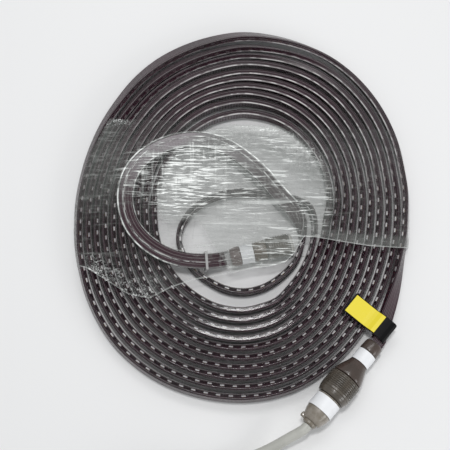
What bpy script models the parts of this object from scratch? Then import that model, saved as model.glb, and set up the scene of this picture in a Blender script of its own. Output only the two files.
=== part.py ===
"""A coil of flat LED strip light on a level floor, held by a band of stretch film, with its couplings and its mains lead.

Lengths below are in millimetres and go into the scene in metres. The coil's axis is the Z axis, the floor is z = 0.
The band of film runs along X round the coil, over and under it. The mains lead lies in front of the coil, towards -Y.
"""

import math

import bmesh
import bpy
import numpy as np
from mathutils import Matrix, Vector

MM = 0.001
gap = 0.3  # between pieces that touch

# The strip: a flat extrusion that stands on its edge in the coil
strip_width = 10.5
strip_thickness = 4.0
strip_corner = 0.7
strip_inset = 0.1  # the loose lengths stand this much inside the coil's two faces

# The coil, oval from handling
coil_radius = 122.0
bore_radius = 62.0
coil_turns = 10
coil_steps = 48
groove_depth = 3.0
crest_share = 0.82
coil_outer_bulge = (  # past those two radii, every 15 degrees from +X towards +Y
    -9.5, -5.5, 1.0, 7.5, 13.5, 15.5, 15.0, 11.5, 7.0, 0.5, -4.0, -7.0,
    -8.0, -7.0, -4.0, -1.0, 0.5, 0.5, 0.0, -1.5, -6.5, -11.0, -14.5, -15.5,
)  # fmt: skip
coil_inner_bulge = (
    -5.0, -1.5, 2.5, 6.5, 10.5, 13.0, 13.5, 12.0, 8.5, 5.0, 1.5, -1.0,
    -3.0, -3.5, -3.0, -2.5, -2.0, -1.0, -1.5, -3.0, -4.5, -6.0, -7.0, -7.0,
)  # fmt: skip

# Stretch film
film_width = 100.0
film_middle = 19.0  # the band's middle along Y
film_thickness = 0.5
film_slack = 0.35
film_rise = 4.9  # where the crossing strip and the inner coupling hold the film up
film_far_edge = 0.4  # share of that rise left at the band's far edge
film_span = (  # share of the way across the band: the stretch of X over which the film is held up
    (0.00, -44.0, 34.0), (0.10, -52.0, 42.0), (0.25, -74.0, 43.0), (0.40, -84.0, 36.0), (0.57, -86.0, 25.0),
    (0.70, -83.0, 16.0), (0.80, -74.0, 4.0), (0.90, -58.0, -18.0), (1.00, -40.0, -30.0),
)  # fmt: skip
film_near_edge = (  # X, and how far the band's edge strays from straight there
    (-112, -1), (-100, -5), (-80, -19), (-62, -25), (-45, -17), (-30, -10), (-5, -6), (12, 1), (30, 14), (38, 18),
    (60, 13), (85, 8), (110, 5),
)  # fmt: skip
film_far_edge_strays = ((-99, 3), (-9, -2), (75, -6), (113, -6))

# The loose inner length: out of the coil's innermost turn, once round the bore, then over the coil to the inner coupling
inner_leave = (  # direction in degrees and radius past the bore's while it leaves the coil
    (281, 0.5), (291, -1.5), (302, -5.5), (315, -9.2), (330, -12.2), (345, -13.7), (358, -14.0),
)  # fmt: skip
inner_loop = (
    (46.0, 8.3), (38.0, 13.4), (25.3, 16.5), (13.0, 18.6), (1.5, 19.6), (-10.8, 18.4), (-22.4, 14.8),
    (-32.6, 8.4), (-40.4, -1.4), (-43.6, -12.5), (-40.2, -25.0), (-32.0, -36.0), (-21.0, -44.1),
    (-10.2, -48.9), (0.4, -50.2), (9.7, -48.6), (18.6, -44.6), (28.3, -37.2), (36.0, -27.8), (39.6, -17.0),
)  # fmt: skip
inner_crossing = (  # x, y, height of the middle over the coil's middle, turn in degrees from standing to flat
    (40.2, -8.6, 1.4, 12), (38.4, -1.0, 4.2, 40), (33.4, 6.0, 6.8, 74), (27.6, 12.5, 7.5, 88),
    (22.4, 18.6, 7.5, 90), (13.2, 29.9, 7.5, 90), (1.6, 40.7, 7.5, 90), (-10.8, 49.5, 7.5, 90),
    (-22.6, 54.0, 7.5, 90), (-34.4, 55.4, 7.5, 90), (-46.8, 53.5, 7.5, 90), (-58.5, 48.8, 7.5, 90),
    (-68.7, 41.2, 7.5, 90), (-76.0, 31.0, 7.5, 90), (-79.4, 18.4, 7.5, 90), (-78.4, 4.2, 7.5, 90),
    (-73.0, -8.4, 7.5, 90), (-63.4, -18.8, 7.5, 90), (-51.7, -25.9, 7.5, 90), (-41.0, -29.4, 7.5, 90),
    (-31.0, -30.6, 7.5, 90), (-25.0, -30.4, 6.4, 90), (-19.5, -29.7, 4.8, 90), (-14.0, -28.6, 3.2, 90),
)  # fmt: skip
inner_plug_at = (-8.6, -27.1)
inner_plug_turn = 13.5  # degrees from +X
inner_plug_height = 8.3

# The outer length: off the coil's outermost turn, under the tag, into the outer coupling
outer_run = (  # direction in degrees, radius past the coil's, height over the coil's middle
    (14.0, -8.4, 0.0), (7.0, -9.8, 0.0), (0.0, -11.0, 0.0), (-4.5, -11.8, 0.0), (-10.0, -12.6, 0.0),
    (-15.0, -12.5, 0.0), (-21.0, -11.4, 0.4), (-28.6, -9.5, 1.1), (-35.2, -6.7, 1.7), (-40.2, -3.7, 2.3),
)  # fmt: skip
outer_plug_place = (-44.7, -0.8)  # direction in degrees, radius past the coil's
outer_plug_turn = 228.7
outer_plug_height = 8.8
outer_plug_climb = 0.065

# Couplings: distance along the axis and radius
inner_body = (
    (0.0, 5.6), (1.2, 6.1), (6.4, 6.8), (6.9, 5.9), (16.0, 5.9), (16.4, 6.3), (24.6, 6.7), (24.9, 5.0), (40.2, 5.0),
)  # fmt: skip
inner_nut = ((25.2, 40.4), (6.9, 7.4), 5.3)
inner_cap = ((40.8, 5.6), (41.2, 6.8), (42.4, 6.8), (43.0, 6.0))
inner_label = ((7.2, 15.7), 6.2, 6.55)
outer_body = (
    (0.0, 5.5), (1.6, 6.2), (7.6, 6.4), (8.0, 5.9), (17.2, 5.9), (17.6, 6.5), (19.6, 7.0), (25.0, 9.4),
    (29.6, 10.4), (30.0, 8.2), (46.6, 8.2),
)  # fmt: skip
outer_nut = ((30.3, 46.8), (10.5, 11.1), 8.5)
outer_label = ((8.3, 16.9), 6.2, 6.6)
lead_body = (
    (47.2, 8.6), (48.0, 8.2), (58.2, 8.2), (58.6, 8.5), (63.0, 7.6), (66.4, 6.2), (67.0, 4.6), (69.2, 4.4),
)  # fmt: skip
lead_label = ((48.4, 57.9), 8.5, 8.9)
lead_ear = (66.0, 5.4, 3.4)  # distance along, offset to the side, size
plug_steps = 32
nut_ribs = 20
rib_depth = 0.5

# Tie round the strip before the inner coupling
tie_index = 21  # at this point of the crossing
tie_width = 1.6
tie_thickness = 0.8

# Tag folded over the outer strip
tag_place = (-16.1, 27.7)  # from the outer coupling's start
tag_turn = -40.3
tag_width = 14.5
tag_thickness = 0.8
tag_line = (  # distance along, height over the coil's top
    (0.0, 0.75), (8.0, 0.75), (16.0, 0.8), (19.5, 1.7), (22.4, 2.9), (27.0, 3.3), (32.0, 3.1), (33.2, 1.4), (33.7, -2.8),
)  # fmt: skip
tag_label_span = (1.2, 24.6)
tag_label_width = 13.3
tag_label_thickness = 0.3

# Mains lead: a round cable, its rest neatly coiled in front, a plug with two flat pins at the end
cable_diameter = 6.6
cable_step = 12.0  # between two rings of its mesh
lead_coil_place = (-105.1, -129.7)  # from the outer coupling's start
lead_coil_radius = 36.0
lead_coil_wide = 2
lead_coil_high = 3
lead_coil_steps = 32
lead_path = (  # from the outer coupling's start
    (-56.5, -59.3, 11.2), (-63.3, -63.1, 8.6), (-71.1, -67.1, 6.4), (-81.1, -71.3, 4.4),
    (-92.1, -75.3, 3.5), (-104.6, -79.6, 3.3), (-119.3, -85.1, 3.3), (-134.3, -92.9, 3.3),
)  # fmt: skip
tail_path = (  # from the lead coil's middle
    (-17.0, -44.0, 3.3), (0.0, -46.8, 3.3), (13.0, -45.8, 4.0), (23.0, -43.3, 6.0), (30.0, -40.8, 7.0),
)  # fmt: skip
lead_tie_turn = 290.0  # direction in which the tie sits on the lead's coil
lead_tie_width = 5.0
lead_tie_thickness = 0.8
mains_plug_place = (30.6, -40.6)  # from the lead coil's middle
mains_plug_turn = 18.0
mains_plug_size = (32.0, 25.0, 14.0)
pin_size = (17.0, 6.3, 1.6)
pin_spacing = 12.7

coil_bottom = film_thickness + gap
coil_top = coil_bottom + strip_width
coil_middle = coil_bottom + strip_width / 2
coil_outer = tuple(coil_radius + v for v in coil_outer_bulge)
coil_inner = tuple(bore_radius + v for v in coil_inner_bulge)


def smooth_ring(values, angle):
    """A value between entries spread evenly round the circle, by a Catmull-Rom curve."""
    where = (angle / (2 * math.pi)) % 1.0 * len(values)
    low = int(where)
    t = where - low
    a, b, c, d = (values[(low + i) % len(values)] for i in (-1, 0, 1, 2))
    return b + 0.5 * t * (c - a + t * (2 * a - 5 * b + 4 * c - d + t * (3 * (b - c) + d - a)))


def smooth_line(points, step):
    """The points joined by a Catmull-Rom curve and read about every step."""
    p = np.array(points, float)
    p = np.vstack([2 * p[0] - p[1], p, 2 * p[-1] - p[-2]])
    out = []
    for i in range(1, len(p) - 2):
        a, b, c, d = p[i - 1 : i + 3]
        count = max(1, round(float(np.linalg.norm((c - b)[:3])) / step))
        for t in np.linspace(0, 1, count, endpoint=False):
            out.append(b + 0.5 * t * (c - a + t * (2 * a - 5 * b + 4 * c - d + t * (3 * (b - c) + d - a))))
    out.append(p[-2])
    return np.array(out)


def polar(degrees, radius):
    a = math.radians(degrees)
    return radius * math.cos(a), radius * math.sin(a)


def add_object(name, points, faces, color, roughness=0.5, metallic=0.0, smooth=False):
    """A mesh object in metres from points in millimetres."""
    mesh = bpy.data.meshes.new(name)
    mesh.from_pydata([tuple(float(v) * MM for v in p) for p in points], [], faces)
    work = bmesh.new()
    work.from_mesh(mesh)
    bmesh.ops.recalc_face_normals(work, faces=work.faces)
    work.to_mesh(mesh)
    work.free()
    for face in mesh.polygons:
        face.use_smooth = smooth
    material = bpy.data.materials.new(name)
    material.use_nodes = True
    shader = material.node_tree.nodes["Principled BSDF"]
    shader.inputs["Base Color"].default_value = (*color, 1.0)
    shader.inputs["Roughness"].default_value = roughness
    shader.inputs["Metallic"].default_value = metallic
    material.diffuse_color = (*color, 1.0)
    mesh.materials.append(material)
    obj = bpy.data.objects.new(name, mesh)
    bpy.context.scene.collection.objects.link(obj)
    return obj


def skin(name, rings, color, closed=False, **look):
    """A solid through rings of points, capped at both ends unless the rings close on themselves."""
    count = len(rings[0])
    points = [p for ring in rings for p in ring]
    faces = []
    last = len(rings) if closed else len(rings) - 1
    for i in range(last):
        j = (i + 1) % len(rings)
        for k in range(count):
            m = (k + 1) % count
            faces.append((i * count + k, i * count + m, j * count + m, j * count + k))
    if not closed:
        faces.append(tuple(range(count)))
        faces.append(tuple(range(len(rings) * count - count, len(rings) * count))[::-1])
    return add_object(name, points, faces, color, **look)


def flat_section(width, thickness, corner):
    """A rectangle with cut corners: across the width first, then through the thickness."""
    w, t, c = width / 2, thickness / 2, corner
    return [(-w + c, -t), (w - c, -t), (w, -t + c), (w, t - c), (w - c, t), (-w + c, t), (-w, t - c), (-w, -t + c)]


def ribbon(name, line, width, thickness, corner, color, **look):
    """A flat bar along rows of x, y, z and its turn in degrees from standing on edge to lying flat."""
    xyz = line[:, :3]
    along = np.gradient(xyz, axis=0)
    rings = []
    for p, d, turn in zip(xyz, along, line[:, 3]):
        d = Vector(d).normalized()
        side = d.cross(Vector((0, 0, 1))).normalized()
        up = side.cross(d).normalized()
        a = math.radians(turn)
        across = up * math.cos(a) + side * math.sin(a)
        through = side * math.cos(a) - up * math.sin(a)
        rings.append([Vector(p) + across * u + through * v for u, v in flat_section(width, thickness, corner)])
    return skin(name, rings, color, **look)


def join(main, *others):
    """Unites solids into the first one."""
    for other in others:
        cut = main.modifiers.new("join", "BOOLEAN")
        cut.operation = "UNION"
        cut.solver = "EXACT"
        cut.object = other
    bpy.context.view_layer.update()
    graph = bpy.context.evaluated_depsgraph_get()
    made = bpy.data.meshes.new_from_object(main.evaluated_get(graph))
    main.modifiers.clear()
    old = main.data
    main.data = made
    bpy.data.meshes.remove(old)
    work = bmesh.new()
    work.from_mesh(made)
    bmesh.ops.remove_doubles(work, verts=work.verts, dist=2e-6)
    bmesh.ops.dissolve_degenerate(work, edges=work.edges, dist=2e-6)
    bmesh.ops.triangulate(work, faces=work.faces)
    work.to_mesh(made)
    work.free()
    for other in others:
        bpy.data.objects.remove(other, do_unlink=True)
    return main


def plug_frame(at, height, turn, climb=0.0):
    """The frame of a coupling: X along its axis, Z up."""
    axis = Vector((*polar(turn, 1.0), climb)).normalized()
    side = Vector((0, 0, 1)).cross(axis).normalized()
    up = axis.cross(side)
    return Matrix((axis, side, up)).transposed().to_4x4(), Vector((*at, height))


def turned(name, profile, frame, color, bore=None, ribs=0, **look):
    """A turned solid along a coupling's axis. Its profile is rows of distance along and radius. A bore makes it a ring."""
    turn, at = frame
    steps = 2 * ribs if ribs else plug_steps
    rings = []
    if bore:
        profile = [*profile, (profile[-1][0], bore), (profile[0][0], bore)]
    for k in range(steps):
        a = 2 * math.pi * k / steps
        row = []
        for along, radius in profile:
            r = radius - (rib_depth if ribs and k % 2 and radius != bore else 0.0)
            row.append(turn @ Vector((along, r * math.cos(a), r * math.sin(a))) + at)
        rings.append(row)
    if bore:
        return skin(name, rings, color, closed=True, **look)
    by_station = [[rings[k][i] for k in range(steps)] for i in range(len(profile))]
    return skin(name, by_station, color, **look)


def coil(name, turns, outer, inner, bottom, top, crest, depth, steps, color):
    """A coil as one turned solid with its bore. Its turns show as crests on both faces."""
    rings = []
    for k in range(steps):
        a = 2 * math.pi * k / steps
        r_in, r_out = inner(a), outer(a)
        pitch = (r_out - r_in) / (turns - 1 + crest_share)
        flat = min(crest, crest_share * pitch)
        pitch = (r_out - r_in - flat) / (turns - 1)
        face = []
        for i in range(turns):
            start = r_in + i * pitch
            face += [(start, 0.0), (start + flat, 0.0)]
            if i < turns - 1:
                face.append((start + (flat + pitch) / 2, -depth))
        row = [(r, top + z) for r, z in face] + [(r, bottom - z) for r, z in reversed(face)]
        rings.append([(r * math.cos(a), r * math.sin(a), z) for r, z in row])
    return skin(name, rings, color, closed=True, roughness=0.3)


def loop_band(name, at, along, half_width, half_height, thickness, width, color):
    """A thin band closed round a flat bar."""
    d = Vector(along).normalized()
    side = d.cross(Vector((0, 0, 1))).normalized()
    up = side.cross(d).normalized()
    rings = []
    for sx, sy in ((-1, -1), (1, -1), (1, 1), (-1, 1)):
        row = []
        for grow, shift in ((0, -1), (thickness, -1), (thickness, 1), (0, 1)):
            row.append(
                Vector(at) + side * sx * (half_width + grow) + up * sy * (half_height + grow) + d * shift * width / 2
            )
        rings.append(row)
    return skin(name, rings, color, closed=True)


def box(name, frame, low, high, color, corner=0.0, **look):
    """A block in a coupling's frame, from its low to its high corner, its upright edges cut."""
    turn, at = frame
    (x0, y0, z0), (x1, y1, z1) = low, high
    c = corner
    plan = [(x0 + c, y0), (x1 - c, y0), (x1, y0 + c), (x1, y1 - c), (x1 - c, y1), (x0 + c, y1), (x0, y1 - c), (x0, y0 + c)]
    if not c:
        plan = [(x0, y0), (x1, y0), (x1, y1), (x0, y1)]
    rings = [[turn @ Vector((x, y, z)) + at for x, y in plan] for z in (z0, z1)]
    return skin(name, rings, color, **look)


def tube(name, line, diameter, color):
    """A round cable along points, with closed ends."""
    curve = bpy.data.curves.new(name, "CURVE")
    curve.dimensions = "3D"
    curve.bevel_depth = diameter / 2 * MM
    curve.bevel_resolution = 3
    curve.use_fill_caps = True
    spline = curve.splines.new("POLY")
    spline.points.add(len(line) - 1)
    for point, p in zip(spline.points, line):
        point.co = (*(float(v) * MM for v in p[:3]), 1.0)
    obj = bpy.data.objects.new(name, curve)
    bpy.context.scene.collection.objects.link(obj)
    material = bpy.data.materials.new(name)
    material.use_nodes = True
    shader = material.node_tree.nodes["Principled BSDF"]
    shader.inputs["Base Color"].default_value = (*color, 1.0)
    material.diffuse_color = (*color, 1.0)
    curve.materials.append(material)
    return obj


def edge_at(y, side, lines):
    """How far the coil and the strip lengths beside it reach at this y, towards one side."""
    reach = 0.0
    for line in lines:
        for a, b in zip(line[:-1], line[1:]):
            low, high = min(a[1], b[1]), max(a[1], b[1])
            if high > low and low <= y <= high:
                x = a[0] + (b[0] - a[0]) * (y - a[1]) / (b[1] - a[1])
                reach = max(reach, side * x)
    return reach


def film(name, outline, color):
    """The band of stretch film: a closed loop under, up, over and down again, all across its width."""
    low, high = film_middle - film_width / 2, film_middle + film_width / 2
    near_edge, far_edge = np.array(film_near_edge, float), np.array(film_far_edge_strays, float)

    def across(x, share):
        near = low + float(np.interp(x, near_edge[:, 0], near_edge[:, 1]))
        far = high + float(np.interp(x, far_edge[:, 0], far_edge[:, 1]))
        return near + share * (far - near)

    rings_out, rings_in = [], []
    spans = np.array(film_span)
    stations = np.linspace(0.0, 1.0, 11)
    for share in stations:
        near = []
        for s in (-1, 1):
            y0, y, y1 = (across(s * coil_radius, t) for t in (0.0, share, 1.0))
            near += [edge_at(min(max(y + d, y0), y1), s, outline) for d in (-6, -3, 0, 3, 6)]
        left, right = -max(near[:5]) - gap - film_slack, max(near[5:]) + gap + film_slack
        start, end = (float(np.interp(share, spans[:, 0], spans[:, i])) for i in (1, 2))
        rise = film_rise * float(np.interp(share, (0.9, 1.0), (1.0, film_far_edge)))
        flat_top = coil_top + gap
        for rings, grow in ((rings_in, 0.0), (rings_out, film_thickness)):
            bottom = film_thickness - grow
            cut = 1.0 if grow else 0.25
            row = [(left - grow, bottom + cut), (left - grow, flat_top - 2.0), (left - grow + 1.0, flat_top - 0.2 + grow)]
            if not grow:
                row[2] = (left + 0.4, flat_top)
            for x in np.linspace(left + 6.0, start, 4):
                row.append((float(x), flat_top + grow + rise * (x - left) / (start - left)))
            for x in np.linspace(start, end, 7)[1:-1]:
                row.append((float(x), flat_top + grow + rise))
            for x in np.linspace(end, right - 6.0, 4):
                row.append((float(x), flat_top + grow + rise * (right - x) / (right - end)))
            row.append((right + grow - 1.0, flat_top - 0.2 + grow) if grow else (right - 0.4, flat_top))
            row += [(right + grow, flat_top - 2.0), (right + grow, bottom + cut), (right + grow - cut, bottom)]
            for x in np.linspace(right - 12.0, left + 12.0, 5):
                row.append((float(x), bottom))
            row.append((left - grow + cut, bottom))
            rings.append([(x, across(x, share), z) for x, z in row])
    count = len(rings_in[0])
    points = [p for ring in rings_in for p in ring] + [p for ring in rings_out for p in ring]
    shift = len(rings_in) * count
    faces = []
    for i in range(len(rings_in) - 1):
        for k in range(count):
            m = (k + 1) % count
            a, b, c, d = i * count + k, i * count + m, (i + 1) * count + m, (i + 1) * count + k
            faces += [(a, b, c, d), (a + shift, d + shift, c + shift, b + shift)]
    for i in (0, len(rings_in) - 1):
        for k in range(count):
            m = (k + 1) % count
            a, b = i * count + k, i * count + m
            faces.append((a, b, b + shift, a + shift))
    return add_object(name, points, faces, color, roughness=0.2)


def main():
    for old in list(bpy.data.objects):
        bpy.data.objects.remove(old, do_unlink=True)

    # Lengths of strip as rows of x, y, z, turn
    leave = [(*polar(a, bore_radius + r), coil_middle, 0.0) for a, r in inner_leave]
    loop = [(x, y, coil_middle, 0.0) for x, y in inner_loop]
    crossing = [(x, y, coil_middle + h, turn) for x, y, h, turn in inner_crossing]
    axis = Vector((*polar(inner_plug_turn, 1.0), 0.0))
    entry = Vector((*inner_plug_at, inner_plug_height)) - axis * gap
    inner_line = smooth_line([*leave, *loop, *crossing, (*(entry - axis * 3), 90.0), (*entry, 90.0)], 4.5)

    outer_plug_at = polar(outer_plug_place[0], coil_radius + outer_plug_place[1])
    outer_axis = Vector((*polar(outer_plug_turn, 1.0), outer_plug_climb)).normalized()
    outer_entry = Vector((*outer_plug_at, outer_plug_height)) - outer_axis * gap
    outer_line = smooth_line(
        [
            *((*polar(a, coil_radius + r), coil_middle + h, 0.0) for a, r, h in outer_run),
            (*(outer_entry - outer_axis * 3), 0.0),
            (*outer_entry, 0.0),
        ],
        4.5,
    )

    dark = (0.035, 0.026, 0.030)
    strip = coil(
        "led_strip", coil_turns,
        lambda a: smooth_ring(coil_outer, a), lambda a: smooth_ring(coil_inner, a),
        coil_bottom, coil_top, strip_thickness, groove_depth, coil_steps, dark,
    )  # fmt: skip
    height = strip_width - 2 * strip_inset
    inner_end = ribbon("inner_end", inner_line, height, strip_thickness, strip_corner, dark)
    outer_end = ribbon("outer_end", outer_line, height, strip_thickness, strip_corner, dark)
    join(strip, inner_end, outer_end)

    fine = np.linspace(0, 2 * math.pi, 361)
    around = [(smooth_ring(coil_outer, a) * math.cos(a), smooth_ring(coil_outer, a) * math.sin(a)) for a in fine]
    beside = [(p[0] + strip_thickness / 2 + 0.2, p[1]) for p in outer_line]
    film("stretch_film", (around, beside), (0.75, 0.77, 0.76))

    inner = plug_frame(inner_plug_at, inner_plug_height, inner_plug_turn)
    turned("inner_plug_body", inner_body, inner, (0.20, 0.12, 0.10))
    span, bore, radius = inner_label
    turned("inner_plug_label", [(span[0], radius), (span[1], radius)], inner, (0.86, 0.86, 0.86), bore=bore)
    (a, b), (r0, r1), bore = inner_nut
    nut = [(a, r0), (a + 0.8, r1), (b - 0.8, r1), (b, r0)]
    turned("inner_plug_nut", nut, inner, (0.25, 0.20, 0.16), bore=bore, ribs=nut_ribs)
    turned("inner_plug_cap", inner_cap, inner, (0.55, 0.53, 0.50))

    k = tie_index
    before, here, after = crossing[k - 1], crossing[k], crossing[k + 1]
    loop_band(
        "strip_tie", here[:3], [after[i] - before[i] for i in range(3)],
        height / 2 + gap, strip_thickness / 2 + gap, tie_thickness, tie_width, (0.6, 0.6, 0.6),
    )  # fmt: skip

    outer = plug_frame(outer_plug_at, outer_plug_height, outer_plug_turn, outer_plug_climb)
    turned("outer_plug_body", outer_body, outer, (0.12, 0.085, 0.07))
    span, bore, radius = outer_label
    turned("outer_plug_label", [(span[0], radius), (span[1], radius)], outer, (0.86, 0.86, 0.86), bore=bore)
    (a, b), (r0, r1), bore = outer_nut
    nut = [(a, r0), (a + 1.0, r1), (b - 2.6, r1), (b - 1.6, r0 - 0.4), (b, r0 - 0.8)]
    turned("outer_plug_nut", nut, outer, (0.14, 0.10, 0.08), bore=bore, ribs=nut_ribs)

    body = turned("lead_plug_body", lead_body, outer, (0.20, 0.175, 0.15))
    along, aside, size = lead_ear
    ear = box(
        "ear", outer, (along - size / 2, -aside - size / 2, -size / 2), (along + size / 2, -aside + size, size / 2),
        (0.2, 0.2, 0.2), corner=size / 5,
    )  # fmt: skip
    join(body, ear)
    span, bore, radius = lead_label
    turned("lead_plug_label", [(span[0], radius), (span[1], radius)], outer, (0.86, 0.86, 0.86), bore=bore)

    # The tag: black band with a yellow face, folded down at its outer end
    turn = math.radians(tag_turn)
    tag_at = (outer_plug_at[0] + tag_place[0], outer_plug_at[1] + tag_place[1])
    tag = [
        (tag_at[0] + s * math.cos(turn), tag_at[1] + s * math.sin(turn), coil_top + h, 90.0) for s, h in tag_line
    ]
    ribbon("tag_band", smooth_line(tag, 2.5), tag_width, tag_thickness, 0.2, (0.012, 0.012, 0.013))
    lift = tag_thickness / 2 + gap + tag_label_thickness / 2 + 0.1
    heights = np.array(tag_line)
    face = []
    for s in np.linspace(*tag_label_span, 10):
        h = float(np.interp(s, heights[:, 0], heights[:, 1])) + lift
        face.append((tag_at[0] + s * math.cos(turn), tag_at[1] + s * math.sin(turn), coil_top + h, 90.0))
    ribbon("tag_label", np.array(face), tag_label_width, tag_label_thickness, 0.1, (0.90, 0.75, 0.02))

    # The mains lead
    grey = (0.62, 0.62, 0.58)
    turn, at = outer
    start, straight = (turn @ Vector((lead_body[-1][0] + d, 0, 0)) + at for d in (gap, 3.0))
    path = [(outer_plug_at[0] + x, outer_plug_at[1] + y, z) for x, y, z in lead_path]
    tube("lead_cable", [start, *smooth_line([tuple(straight), *path], cable_step)], cable_diameter, grey)
    lead_coil_at = (outer_plug_at[0] + lead_coil_place[0], outer_plug_at[1] + lead_coil_place[1])
    path = [(lead_coil_at[0] + x, lead_coil_at[1] + y, z) for x, y, z in tail_path]
    tube("lead_tail", smooth_line(path, cable_step), cable_diameter, grey)
    half = cable_diameter / 2
    lift = lead_tie_thickness + gap
    rings = []
    for k in range(lead_coil_steps):
        a = 2 * math.pi * k / lead_coil_steps
        row = []
        low = lead_coil_radius - lead_coil_wide * half
        for i in range(lead_coil_wide):
            for phi in ((215, 325) if i else (215, 325)):
                row.append((low + half + 2 * half * i + half * math.cos(math.radians(phi)), half + half * math.sin(math.radians(phi))))
        right = low + 2 * half * lead_coil_wide
        for j in range(lead_coil_high):
            row += [(right - 0.35 * half, half * (0.35 + 2 * j)), (right, half * (1 + 2 * j)), (right - 0.35 * half, half * (1.65 + 2 * j))]
        top = 2 * half * (lead_coil_high - 1) + half
        for i in reversed(range(lead_coil_wide)):
            for phi in (35, 145):
                row.append((low + half + 2 * half * i + half * math.cos(math.radians(phi)), top + half * math.sin(math.radians(phi))))
        for j in reversed(range(lead_coil_high)):
            row += [(low + 0.35 * half, half * (1.65 + 2 * j)), (low, half * (1 + 2 * j)), (low + 0.35 * half, half * (0.35 + 2 * j))]
        rings.append([(lead_coil_at[0] + r * math.cos(a), lead_coil_at[1] + r * math.sin(a), z + lift) for r, z in row])
    skin("lead_coil", rings, grey, closed=True)
    x, y = polar(lead_tie_turn, lead_coil_radius)
    loop_band(
        "lead_tie", (lead_coil_at[0] + x, lead_coil_at[1] + y, lift + half * lead_coil_high),
        (*polar(lead_tie_turn + 90, 1.0), 0.0), half * lead_coil_wide + gap, half * lead_coil_high + gap,
        lead_tie_thickness, lead_tie_width, (0.03, 0.03, 0.03),
    )  # fmt: skip

    length, width, height = mains_plug_size
    frame = plug_frame((lead_coil_at[0] + mains_plug_place[0], lead_coil_at[1] + mains_plug_place[1]), 0.0, mains_plug_turn)
    rings = []
    for x, w, h in (
        (0.0, 0.36, 0.62), (6.0, 0.40, 0.68), (11.0, 0.80, 0.86), (14.0, 0.98, 0.98), (length, 1.0, 1.0),
    ):  # fmt: skip
        hw, hh, c = w * width / 2, h * height / 2, 2.2
        plan = [(-hw + c, -hh), (hw - c, -hh), (hw, -hh + c), (hw, hh - c), (hw - c, hh), (-hw + c, hh), (-hw, hh - c), (-hw, -hh + c)]
        rings.append([frame[0] @ Vector((x, u, height / 2 + v)) + frame[1] for u, v in plan])
    mains = skin("mains_plug_body", rings, (0.62, 0.62, 0.58))
    long, wide, thick = pin_size
    for i, side in enumerate((-1, 1)):
        y = side * pin_spacing / 2
        box(
            f"mains_pin_{i + 1}", frame, (length + gap, y - thick / 2, height / 2 - wide / 2),
            (length + gap + long, y + thick / 2, height / 2 + wide / 2), (0.75, 0.72, 0.62), metallic=1.0, roughness=0.3,
        )  # fmt: skip
    return mains


main()
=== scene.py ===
"""Looks of a coil of flat LED strip light in stretch film, with its couplings, tag and mains lead.

It is laid out as an add-on: sizes and colours are properties, each piece has its operator,
and the panel lists them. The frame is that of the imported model: the coil's axis is Z and the
floor is z = 0. Properties are metres, and the tables of places are millimetres.
"""

import math

import bmesh
import bpy
import numpy as np
from mathutils import Matrix, Vector


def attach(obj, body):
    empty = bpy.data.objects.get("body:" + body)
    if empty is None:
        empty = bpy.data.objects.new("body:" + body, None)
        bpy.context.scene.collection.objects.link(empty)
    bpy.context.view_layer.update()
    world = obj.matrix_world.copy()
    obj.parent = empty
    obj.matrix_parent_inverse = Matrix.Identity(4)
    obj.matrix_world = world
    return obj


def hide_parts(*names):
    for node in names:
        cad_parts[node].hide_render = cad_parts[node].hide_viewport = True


bl_info = {
    "name": "Strip Light Coil",
    "version": (1, 0, 0),
    "blender": (4, 5, 0),
    "location": "View3D > Sidebar > Strip Light",
    "description": "Dresses a coil of flat LED strip light and sets its stage",
    "category": "Object",
}

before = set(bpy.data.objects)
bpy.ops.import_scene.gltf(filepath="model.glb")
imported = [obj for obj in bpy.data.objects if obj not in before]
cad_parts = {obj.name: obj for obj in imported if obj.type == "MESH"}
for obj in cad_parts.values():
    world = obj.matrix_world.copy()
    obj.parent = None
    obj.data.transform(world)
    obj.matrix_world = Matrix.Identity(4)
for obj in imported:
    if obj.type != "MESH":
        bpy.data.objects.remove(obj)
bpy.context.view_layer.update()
MM = 0.001

# ---------------------------------------------------------------- sizes

FLOOR_GAP = 0.8 * MM  # the coil's underside, on the film's lower run
STRIP_WIDE, STRIP_THICK = 10.5, 4.0
TURN_TOP = 11.48  # what a leaning turn may reach
RING_ANGLES = tuple(range(0, 361, 15))
# The middle of the outermost and of the innermost turn, each 15 degrees from +X, in millimetres
OUTER_TURN = (
    111.4, 114.5, 121.0, 127.5, 133.5, 135.5, 135.2, 131.5, 127.0, 120.5, 116.0, 113.0, 112.0,
    113.0, 116.0, 119.0, 120.5, 120.5, 120.0, 118.5, 113.5, 109.0, 105.2, 103.8, 105.4,
)  # fmt: skip
INNER_TURN = (
    57.4, 62.0, 66.5, 70.5, 74.5, 77.0, 77.5, 76.0, 72.5, 69.0, 65.5, 63.0, 61.0,
    60.5, 61.0, 61.5, 62.0, 63.0, 62.8, 61.0, 57.6, 53.6, 50.6, 50.2, 51.4,
)  # fmt: skip
FAR_SHIFT = (2.2, -0.7, -0.9, -1.0, -1.9, -0.1, 1.0, 2.5, 2.3, 0)  # of each turn outwards, at the far side
FAR_LEAN = (47, 38, 22, 5, 0)  # degrees that the outer turns have fallen inwards there
OUTER_RUN = (  # from the outer coupling to the coil: x, y, height over the coil's middle, turn
    (90.4, -76.3, 2.3, -62), (94.2, -66.5, 1.7, -60), (98.8, -53.8, 1.1, -48), (103.0, -39.9, 0.4, -32),
    (105.8, -28.0, 0.0, -22), (107.9, -18.6, 0.0, -17), (109.9, -8.6, 0.0, -15),
)  # fmt: skip
RING_END = 284  # degrees, where the last turn leaves the ring for the bore
INNER_LEAVE = ((291, 60.4), (302, 56.8), (315, 53.6), (330, 51.0), (345, 49.6), (358, 48.8))
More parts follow.
